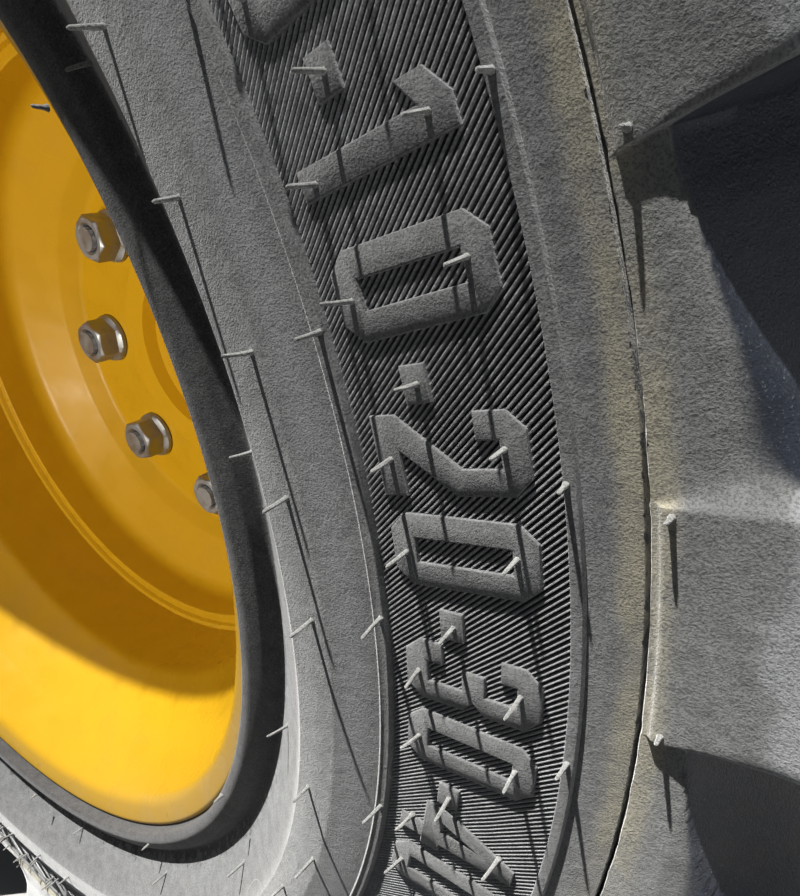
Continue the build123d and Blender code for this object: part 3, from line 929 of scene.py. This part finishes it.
class WHEEL_OT_hairs(bpy.types.Operator):
    """Set the thin rubber hairs that the mould's vents leave"""

    bl_idname = "wheel.hairs"
    bl_label = "Vent hairs"

    def execute(self, context):
        spots = []
        for ring, (radius, count, first, length, spread) in enumerate(HAIR_RINGS):
            for k in range(count):
                shift = noise.noise(Vector((k * 1.7, ring * 5.3, 0.2)))
                if ring > 1 and shift > 0.32:
                    continue
                r = radius + spread * shift * 2
                spots.append((r, first + 360.0 / count * k, sidewall_height(r), length * (1 + 0.4 * shift)))
        pitch = 360.0 / sizes().lug_count
        phase = degrees(sizes().lug_phase)
        points, faces = [], []
        for face in FACES:
            first = phase if face > 0 else phase + pitch / 2
            corners = [
                (LUG_HAIR_R, first + pitch * k + off, LUG_FACE_H, 3.0)
                for k in range(sizes().lug_count)
                for off in LUG_HAIR_ANGLES
            ]
            for figure, angle in dial():
                for radius, off in DASH_HAIRS if figure == "-" else FIGURE_HAIRS:
                    corners.append((radius, (angle + off) * face, band_height(radius) + 1.6, 7.5))
            for k, spot in enumerate(spots + corners):
                self.hair(points, faces, spot, face, k)
        hairs = closed_up(mesh_from("vent_hairs", points, faces), 60.0)
        finished(hairs, "wheel", "tyre_rubber", rubber("hair_rubber", base=(0.50, 0.50, 0.487), dusty=0.2))
        return {"FINISHED"}

    def hair(self, points, faces, spot, face, k):
        """One tapered hair with six sides and a blunt end."""
        radius, angle, reach, length = spot
        thick = sizes().hair_radius / MM
        lean_r = noise.noise(Vector((k * 0.9, 1.3, face))) * 0.28
        lean_a = noise.noise(Vector((k * 0.9, 7.1, face))) * 0.28
        sides = 6
        # Place along the hair and share of its thickness there
        rings = ((-0.6, 1.7), (0.5, 1.05), (length * 0.5, 0.9), (length - 0.5, 0.8), (length, 0.35))
        start = len(points)
        for up, share in rings:
            bend = max(up, 0.0) * (1 + max(up, 0.0) * 0.04)
            r = radius + lean_r * bend
            a = angle + degrees(lean_a * bend / radius)
            for s in range(sides):
                turn = 2 * pi * s / sides
                across = thick * share
                aside = degrees(across * sin(turn) / radius)
                points.append(place(r + across * cos(turn), a + aside, (reach + up) * face))
        for n in range(len(rings) - 1):
            for s in range(sides):
                a = start + n * sides + s
                b = start + n * sides + (s + 1) % sides
                faces.append((a, b, b + sides, a + sides))
        faces.append(tuple(start + s for s in reversed(range(sides))))
        end = start + (len(rings) - 1) * sides
        faces.append(tuple(end + s for s in range(sides)))


# Rim from lip to lip, outer surface then the wall's other face, columns: radius, reach, bend
RIM_HALF = [
    (190.0, 66.0, 14.0),
    (214.2, 103.35, 10.0),
    (222.4, 132.0, 12.0),
    (234.9, 132.8, 1.0),
    (234.9, 139.8, 2.2),
    (221.5, 134.9, 10.0),
    (207.6, 108.0, 14.0),
    (183.0, 67.5, 14.0),
]
DISC = [
    (172.7, 14.0, 1.0),
    (172.7, -12.0, 14.0),
    (141.0, -32.0, 10.0),
    (130.0, -44.0, 8.0),
    (76.5, -44.0, 0.8),
    (76.5, -54.0, 0.8),
    (135.0, -54.0, 12.0),
    (146.5, -41.5, 12.0),
    (182.7, -19.0, 14.0),
    (182.7, 14.0, 1.0),
]
WELD_R, WELD_H, WELD_SIZE = 182.0, 14.2, 3.2


class WHEEL_OT_wheel(bpy.types.Operator):
    """Turn the painted rim and disc with their rounded bends and the weld between them"""

    bl_idname = "wheel.wheel"
    bl_label = "Rim and disc"

    def execute(self, context):
        paint = glossy_paint("wheel_enamel", colors().paint, 0.22)
        inside_paint = glossy_paint("disc_enamel", colors().paint, 0.14)
        other_half = [(radius, -reach, bend) for radius, reach, bend in reversed(RIM_HALF)]
        rim = spun("rim_barrel", RIM_HALF + other_half, 256, step=14.0)
        finished(rim, "wheel", "wheel_paint", paint, "rim")
        disc = spun("wheel_disc", DISC, 256, step=14.0)
        finished(disc, "wheel", "wheel_paint", inside_paint, "disc")
        self.weld(inside_paint)
        return {"FINISHED"}

    def weld(self, paint):
        """The bead that joins disc and rim, a ring with overlapping waves."""
        turns = [pi * k / 4 for k in range(8)]
        ring = [(WELD_R + WELD_SIZE * cos(t), WELD_H + WELD_SIZE * sin(t)) for t in turns]
        weld = spun("disc_weld", ring, 720)
        for vertex in weld.data.vertices:
            co = vertex.co
            turn = atan2(co.z, co.x)
            wave = 1 + 0.0011 * (0.5 + 0.5 * sin(turn * 190.0 + 3 * noise.noise(co * 40)))
            vertex.co = Vector((co.x * wave, co.y, co.z * wave))
        finished(weld, "wheel", "wheel_paint", paint)


STUDS, NUT_SIDES = 8, 48
NUT_BORE_R, COLLAR_R = 0.0083, 0.0172


class WHEEL_OT_nuts(bpy.types.Operator):
    """Shape the collared wheel nuts, and give them and their studs the plating"""

    bl_idname = "wheel.nuts"
    bl_label = "Wheel nuts"

    def execute(self, context):
        plating = metal("zinc_plating", colors().plating, 0.45)
        low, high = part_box("nut_1")
        centre = (low + high) / 2
        nut = self.hexagon(sizes().nut_flats / 2, high.y - low.y)
        nut.data.transform(Matrix.Translation((centre.x, high.y, centre.z)))
        angle = degrees(atan2(centre.z, centre.x))
        for k in range(1, STUDS + 1):
            low_k, high_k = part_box(f"nut_{k}")
            middle = (low_k + high_k) / 2
            turn = degrees(atan2(middle.z, middle.x)) - angle
            piece = copied(nut, turned(turn))
            piece.name = f"wheel_nut_{k}"
            finished(piece, "wheel", "plated_steel", plating, f"nut_{k}")
            paint_node(f"stud_{k}", plating)
        bpy.data.objects.remove(nut)
        return {"FINISHED"}

    def hexagon(self, flats, height):
        """A hexagon nut on a round collar with a chamfered face, its seat at Y 0."""
        columns = []
        for k in range(NUT_SIDES + 1):
            angle = 2 * pi * (k % NUT_SIDES) / NUT_SIDES
            edge = self.nut_edge(flats / cos((angle + pi / 6) % (pi / 3) - pi / 6), flats * 0.985, height)
            columns.append([(r * cos(angle), -up, r * sin(angle)) for r, up in edge + edge[:1]])
        return closed_up(grid("nut_shape", list(zip(*columns))), 28.0)

    def nut_edge(self, corner, chamfer, height):
        """Radius and height of a nut's rings, from the bore over collar, flat and chamfer to the bore."""
        edge = height - max(0.0, corner - chamfer) * 0.6
        return [
            (NUT_BORE_R, 0.0),
            (COLLAR_R - 0.0008, 0.0),
            (COLLAR_R, 0.0012),
            (COLLAR_R - 0.0004, 0.0036),
            (corner + 0.0012, 0.0046),
            (corner, 0.0058),
            (corner, edge - 0.0008),
            (corner - 0.0005, edge),
            (min(chamfer, corner) - 0.0002, height - 0.0001),
            (0.0102, height),
            (NUT_BORE_R, height - 0.0016),
        ]


class WHEEL_OT_axle(bpy.types.Operator):
    """Finish the axle shaft, its housing, the seal, the bearing and the valve"""

    bl_idname = "wheel.axle"
    bl_label = "Axle end and valve"

    def execute(self, context):
        steel = metal("turned_steel", colors().steel, 0.32)
        plating = metal("dull_plating", colors().plating, 0.45)
        finishes = {
            "axle_shaft": part_painted("hub_enamel", colors().steel, colors().paint, 0.0565),
            "bearing_cone": steel,
            "bearing_cup": steel,
            "lock_washer": plating,
            "lock_nut": plating,
            "axle_housing": satin_paint("housing_enamel", colors().housing),
            "oil_seal": rubber("seal_rubber", base=(0.03, 0.03, 0.03), dusty=0.15),
            "valve_stem": rubber("valve_rubber", base=(0.03, 0.03, 0.03), dusty=0.2),
            "valve_cap": rubber("cap_plastic", base=(0.02, 0.02, 0.02), dusty=0.15),
        }
        for node, finish in finishes.items():
            paint_node(node, finish)
        return {"FINISHED"}


CAMERA_PLACE = (0.3901, -0.4703, 0.1288)
CAMERA_TURN = ((0.8257, -0.2714, 0.4946), (0.5641, 0.3973, -0.7238), (0.0, 0.8767, 0.4811))
CAMERA_LENS = 28.218
CAMERA_SHIFT = (-0.02107, 0.08103)
DARK_FLOOR = (0.025, 0.025, 0.025)


def background_rays(nodes, links):
    """1 for camera, glossy and transmission rays, and 0 for the light between surfaces."""
    path = nodes.new("ShaderNodeLightPath")
    seen = path.outputs["Is Camera Ray"]
    for ray in ("Is Glossy Ray", "Is Transmission Ray"):
        add = nodes.new("ShaderNodeMath")
        add.operation = "ADD"
        add.use_clamp = True
        links.new(seen, add.inputs[0])
        links.new(path.outputs[ray], add.inputs[1])
        seen = add.outputs[0]
    return seen


class WHEEL_OT_stage(bpy.types.Operator):
    """Set the floor, the soft lights, the pale surroundings and the camera"""

    bl_idname = "wheel.stage"
    bl_label = "Studio stage"

    def execute(self, context):
        scene = context.scene
        scene.view_settings.view_transform = "Standard"
        self.floor()
        self.lamps()
        self.surroundings(scene)
        view = bpy.data.cameras.new("view")
        view.lens = CAMERA_LENS
        view.sensor_width = 36.0
        view.shift_x, view.shift_y = CAMERA_SHIFT
        view.clip_start = 0.01
        camera = added("view", view)
        camera.matrix_world = Matrix.Translation(CAMERA_PLACE) @ Matrix(CAMERA_TURN).to_4x4()
        scene.camera = camera
        return {"FINISHED"}

    def floor(self):
        clear_selection()
        bpy.ops.mesh.primitive_plane_add(size=14.0, location=(0, 0, tyre_low.z - 0.0005))
        floor = bpy.context.object
        floor.name = "studio_floor"
        look = Finish("floor_paper", colors().floor, 0.85, specular=0.2)
        patches = look.noise(0.4, 3.0)
        low, high = [c * 0.97 for c in colors().floor], list(colors().floor)
        # Pale to the eye and in gloss, and dark to the light that it would throw back up
        seen = background_rays(look.nodes, look.links)
        look.set("Base Color", look.mix(seen, DARK_FLOOR, look.mix(patches, low, high)))
        floor.data.materials.append(look.material)

    def lamps(self):
        sun = self.lamp("key", "SUN", 5.9, (1.0, 0.985, 0.95), (-0.226, -0.167, 0.960))
        sun.angle = radians(1.0)
        into_dish = self.lamp("dish", "SPOT", 12.5, (1.0, 0.9, 0.7), (0.0, -1.0, 0.0), (0.0, -0.78, 0.0))
        into_dish.spot_size = radians(48.0)
        into_dish.spot_blend = 0.4
        into_dish.shadow_soft_size = 0.08
        behind = self.lamp("behind", "AREA", 16.0, (1.0, 1.0, 1.0), (0.5, 1.0, 0.6), (0.6, 1.1, 0.75))
        behind.size = 0.9

    def lamp(self, name, kind, power, color, towards, spot=(0.0, 0.0, 0.0)):
        """A lamp at a spot, whose light comes from a direction."""
        light = bpy.data.lights.new(name, kind)
        light.energy = power
        light.color = color
        lamp = added(name, light)
        lamp.rotation_euler = Vector(towards).to_track_quat("Z", "Y").to_euler()
        lamp.location = spot
        return light

    def surroundings(self, scene):
        world = bpy.data.worlds.new("studio")
        scene.world = world
        world.use_nodes = True
        nodes, links = world.node_tree.nodes, world.node_tree.links
        light = nodes["Background"]
        light.inputs["Color"].default_value = (0.86, 0.92, 1.0, 1.0)
        light.inputs["Strength"].default_value = 0.065
        shown = nodes.new("ShaderNodeBackground")
        shown.inputs["Color"].default_value = (0.80, 0.82, 0.85, 1.0)
        shown.inputs["Strength"].default_value = 1.0
        mix = nodes.new("ShaderNodeMixShader")
        links.new(background_rays(nodes, links), mix.inputs["Fac"])
        links.new(light.outputs[0], mix.inputs[1])
        links.new(shown.outputs[0], mix.inputs[2])
        links.new(mix.outputs[0], nodes["World Output"].inputs["Surface"])


class WHEEL_PT_panel(bpy.types.Panel):
    bl_label = "Loader wheel"
    bl_idname = "WHEEL_PT_panel"
    bl_space_type = "VIEW_3D"
    bl_region_type = "UI"
    bl_category = "Wheel"

    def draw(self, context):
        for group in (context.scene.wheel_sizes, context.scene.wheel_colors):
            box = self.layout.box()
            for name in group.__annotations__:
                box.prop(group, name)
        for step in STEPS:
            self.layout.operator(step.bl_idname)


STEPS = (
    WHEEL_OT_casing,
    WHEEL_OT_tread,
    WHEEL_OT_ribs,
    WHEEL_OT_numbers,
    WHEEL_OT_hairs,
    WHEEL_OT_wheel,
    WHEEL_OT_nuts,
    WHEEL_OT_axle,
    WHEEL_OT_stage,
)
CLASSES = (WheelSizes, WheelColors) + STEPS + (WHEEL_PT_panel,)


def register():
    for item in CLASSES:
        bpy.utils.register_class(item)
    bpy.types.Scene.wheel_sizes = bpy.props.PointerProperty(type=WheelSizes)
    bpy.types.Scene.wheel_colors = bpy.props.PointerProperty(type=WheelColors)


def unregister():
    del bpy.types.Scene.wheel_sizes
    del bpy.types.Scene.wheel_colors
    for item in reversed(CLASSES):
        bpy.utils.unregister_class(item)


def main():
    register()
    for step in STEPS:
        group, name = step.bl_idname.split(".")
        getattr(getattr(bpy.ops, group), name)()


if __name__ == "__main__":
    main()
